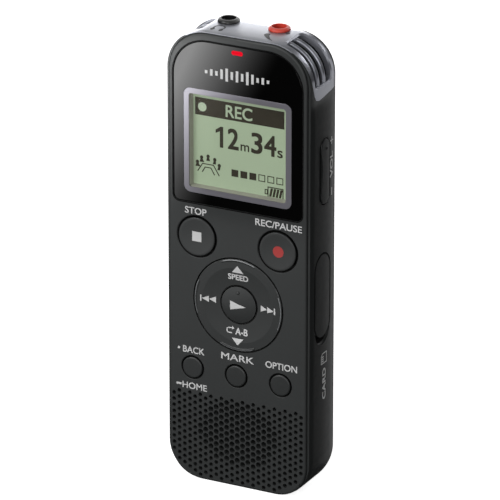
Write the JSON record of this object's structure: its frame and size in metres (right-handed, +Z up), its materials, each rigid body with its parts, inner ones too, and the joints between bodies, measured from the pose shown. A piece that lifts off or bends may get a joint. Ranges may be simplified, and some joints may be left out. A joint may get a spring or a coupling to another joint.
{
  "type": "pocket voice recorder",
  "caption": "Slim pocket voice recorder with a display window, push keys, a tilting pad, speaker grille, microphone slots, jacks, battery lid and a slide-out plug.",
  "frame": {"origin": "middle of the base, on the surface the recorder stands on", "axes": "+Z up along the recorder, display and keys face -Y, +X to the right of someone facing the display"},
  "size_m": [0.0392, 0.0199, 0.115],
  "materials": {
    "case_plastic": "fine matt black plastic",
    "panel_plastic": "satin black plastic",
    "trim_silver": "satin silver lacquer",
    "window_black": "gloss black",
    "bezel_grey": "satin grey",
    "clear_lens": "clear acrylic",
    "lcd_glass": "green grey display",
    "diffuser": "white diffuser",
    "led_red": "red lens",
    "key_plastic": "satin black plastic",
    "silicone": "grey silicone",
    "dome_steel": "bright steel",
    "cloth": "black acoustic cloth",
    "speaker_metal": "black steel",
    "cone_paper": "black paper cone",
    "magnet": "dark magnet",
    "collar_black": "black",
    "collar_red": "red",
    "jack_plastic": "black",
    "contact_metal": "plated brass",
    "mesh_dark": "dark perforated sheet",
    "mic_metal": "bright can",
    "rubber_black": "black rubber",
    "steel": "steel",
    "board_green": "green solder mask",
    "chip_black": "black epoxy",
    "cell_wrap": "plain wrapped cell",
    "tray_plastic": "black plastic",
    "usb_plastic": "white plastic",
    "screw_black": "black steel screws"
  },
  "bodies": {
    "case": {"front_panel": "panel_plastic", "case_body": "case_plastic", "back_cover": "case_plastic", "top_trim": "trim_silver", "display_window": "window_black", "display_bezel": "bezel_grey", "display_lens": "clear_lens", "lcd_panel": "lcd_glass", "lcd_backlight": "diffuser", "led_lens": "led_red", "keypad_sheet": "silicone", "switch_domes": "dome_steel", "speaker_cloth": "cloth", "speaker_frame": "speaker_metal", "speaker_cone": "cone_paper", "speaker_magnet": "magnet", "headphone_jack_collar": "collar_black", "mic_jack_collar": "collar_red", "headphone_jack_body": "jack_plastic", "mic_jack_body": "jack_plastic", "jack_contacts": "contact_metal", "mic_mesh_left": "mesh_dark", "mic_mesh_right": "mesh_dark", "mic_capsule_left": "mic_metal", "mic_capsule_right": "mic_metal", "mic_boot_left": "rubber_black", "mic_boot_right": "rubber_black", "volume_pin": "steel", "volume_switches": "chip_black", "card_socket": "steel", "hold_switch_body": "chip_black", "main_board": "board_green", "processor_chip": "chip_black", "memory_chip": "chip_black", "small_parts": "chip_black", "battery_lid_pin": "steel", "battery_tray": "tray_plastic", "battery_cell_left": "cell_wrap", "battery_cell_right": "cell_wrap", "battery_contacts": "steel", "battery_springs": "steel", "usb_guide": "tray_plastic", "case_screws": "screw_black"},
    "stop_key": {"stop_button": "key_plastic"},
    "record_key": {"record_button": "key_plastic"},
    "back_key": {"back_button": "key_plastic"},
    "mark_key": {"mark_button": "key_plastic"},
    "option_key": {"option_button": "key_plastic"},
    "play_key": {"play_button": "key_plastic"},
    "pad_tilt_frame": {"pad_gimbal": "tray_plastic"},
    "pad": {"pad_ring": "key_plastic"},
    "rocker": {"volume_rocker": "key_plastic"},
    "card_flap": {"card_cover": "case_plastic"},
    "hold_slider": {"hold_knob": "key_plastic"},
    "battery_door": {"battery_lid": "case_plastic"},
    "plug_slider": {"usb_shell": "steel", "usb_insulator": "usb_plastic", "usb_contacts": "contact_metal", "usb_carriage": "tray_plastic", "usb_slider": "key_plastic"}
  },
  "joints": [
    {"name": "stop_press", "type": "slide", "parent": "case", "child": "stop_key", "axis": [0, 1, 0], "range_m": [0, 0.0004], "stiffness_N_per_m": 400},
    {"name": "record_press", "type": "slide", "parent": "case", "child": "record_key", "axis": [0, 1, 0], "range_m": [0, 0.0004], "stiffness_N_per_m": 400},
    {"name": "back_press", "type": "slide", "parent": "case", "child": "back_key", "axis": [0, 1, 0], "range_m": [0, 0.0004], "stiffness_N_per_m": 400},
    {"name": "mark_press", "type": "slide", "parent": "case", "child": "mark_key", "axis": [0, 1, 0], "range_m": [0, 0.0004], "stiffness_N_per_m": 400},
    {"name": "option_press", "type": "slide", "parent": "case", "child": "option_key", "axis": [0, 1, 0], "range_m": [0, 0.0004], "stiffness_N_per_m": 400},
    {"name": "play_press", "type": "slide", "parent": "case", "child": "play_key", "axis": [0, 1, 0], "range_m": [0, 0.0004], "stiffness_N_per_m": 400},
    {"name": "pad_tilt_up_down", "type": "hinge", "parent": "case", "child": "pad_tilt_frame", "pos_m": [0.00015, -0.00745, 0.04723], "axis": [1, 0, 0], "range_deg": [-2, 2], "stiffness_Nm_per_rad": 0.02},
    {"name": "pad_tilt_left_right", "type": "hinge", "parent": "pad_tilt_frame", "child": "pad", "pos_m": [0.00015, -0.00745, 0.04723], "axis": [0, 0, 1], "range_deg": [-2, 2], "stiffness_Nm_per_rad": 0.02},
    {"name": "volume_rock", "type": "hinge", "parent": "case", "child": "rocker", "pos_m": [0.0166, -0.0021, 0.082], "axis": [0, 1, 0], "range_deg": [-3, 3], "stiffness_Nm_per_rad": 0.02},
    {"name": "card_cover_hinge", "type": "hinge", "parent": "case", "child": "card_flap", "pos_m": [0.01905, -0.00305, 0.0611], "axis": [0, -1, 0], "range_deg": [0, 100]},
    {"name": "hold_slide", "type": "slide", "parent": "case", "child": "hold_slider", "axis": [0, 0, 1], "range_m": [-0.002, 0.002]},
    {"name": "battery_lid_hinge", "type": "hinge", "parent": "case", "child": "battery_door", "pos_m": [0, 0.00855, 0.0446], "axis": [-1, 0, 0], "range_deg": [0, 90]},
    {"name": "usb_plug_slide", "type": "slide", "parent": "case", "child": "plug_slider", "axis": [0, 0, -1], "range_m": [0, 0.015]}
  ]
}
